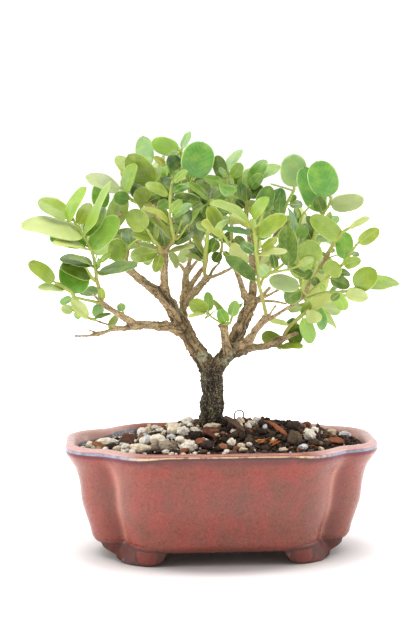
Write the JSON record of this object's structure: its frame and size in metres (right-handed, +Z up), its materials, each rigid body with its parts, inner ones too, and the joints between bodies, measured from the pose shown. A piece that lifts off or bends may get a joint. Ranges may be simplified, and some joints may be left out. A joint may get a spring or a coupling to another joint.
{
  "type": "natal plum bonsai",
  "caption": "Natal plum bonsai: a forked old trunk with rough bark and thick round green leaves, in gritty soil in a lobed oxblood-glazed oval pot on bracket feet.",
  "frame": {"origin": "centre of the whole plant's bounding box in plan, at the level the pot's feet stand on", "axes": "+Z up along the trunk, +X along the pot's long side to the right as seen from the front, -Y the front side seen in the picture"},
  "size_m": [0.2384, 0.1656, 0.2755],
  "materials": {
    "glaze": "glossy oxblood glaze, mottled brown and grey, milky blue and cream along the rim's edge",
    "soil": "rough, dark crumbs with pale grit",
    "bark": "rough furrowed bark, dark and mossy low down, light brown above",
    "leaf": "smooth leathery leaves, glossy above and pale below",
    "pumice": "matt, pitted",
    "bark_chip": "matt reddish brown",
    "root_fibre": "matt",
    "mesh_plastic": "matt black",
    "wire": "satin"
  },
  "bodies": {
    "root": {"pot": "glaze", "soil": "soil", "tree_wood": "bark", "drain_mesh_left": "mesh_plastic", "drain_mesh_right": "mesh_plastic", "mesh_wire_left": "wire", "mesh_wire_right": "wire", "pumice_stone_1": "pumice", "pumice_stone_2": "pumice", "pumice_stone_3": "pumice", "pumice_stone_4": "pumice", "pumice_stone_5": "pumice", "bark_chip_1": "bark_chip", "bark_chip_2": "bark_chip", "bark_chip_3": "bark_chip", "root_loop": "root_fibre", "leaf_spray_far_left_upper": "leaf", "leaf_spray_far_left_lower": "leaf", "leaf_spray_left_twig": "leaf", "leaf_spray_left_knob": "leaf", "leaf_spray_left_inner": "leaf", "leaf_spray_left_heart": "leaf", "leaf_spray_heart_top": "leaf", "leaf_spray_heart_right": "leaf", "leaf_spray_crown_left_low": "leaf", "leaf_spray_crown_left_top": "leaf", "leaf_spray_crown_mid_top": "leaf", "leaf_spray_crown_big_round": "leaf", "leaf_spray_crown_centre": "leaf", "leaf_spray_crown_right_top": "leaf", "leaf_spray_centre_dark": "leaf", "leaf_spray_crown_right_mid": "leaf", "leaf_spray_right_tall": "leaf", "leaf_spray_right_upper": "leaf", "leaf_spray_right_arch": "leaf", "leaf_spray_right_inner_up": "leaf", "leaf_spray_right_rise": "leaf", "leaf_spray_right_shade": "leaf", "leaf_spray_right_bend": "leaf", "leaf_spray_right_reach": "leaf", "leaf_spray_right_low": "leaf", "leaf_spray_low_right_knob": "leaf", "leaf_spray_front_shoot": "leaf", "leaf_spray_callus_left": "leaf", "leaf_spray_callus_right": "leaf", "leaf_spray_back_left_upper": "leaf", "leaf_spray_back_left_side": "leaf", "leaf_spray_back_left_crown": "leaf", "leaf_spray_back_left_rear": "leaf", "leaf_spray_back_right_rear": "leaf", "leaf_spray_back_right_crown": "leaf", "leaf_spray_back_right_side": "leaf", "leaf_spray_back_centre_crown": "leaf", "leaf_spray_back_centre_rear": "leaf", "leaf_spray_back_low_rear": "leaf", "leaf_spray_mid_left": "leaf", "leaf_spray_mid_low_right": "leaf", "leaf_spray_mid_crown": "leaf", "leaf_spray_mid_left_crown": "leaf", "leaf_spray_mid_front_low": "leaf"}
  },
  "joints": []
}
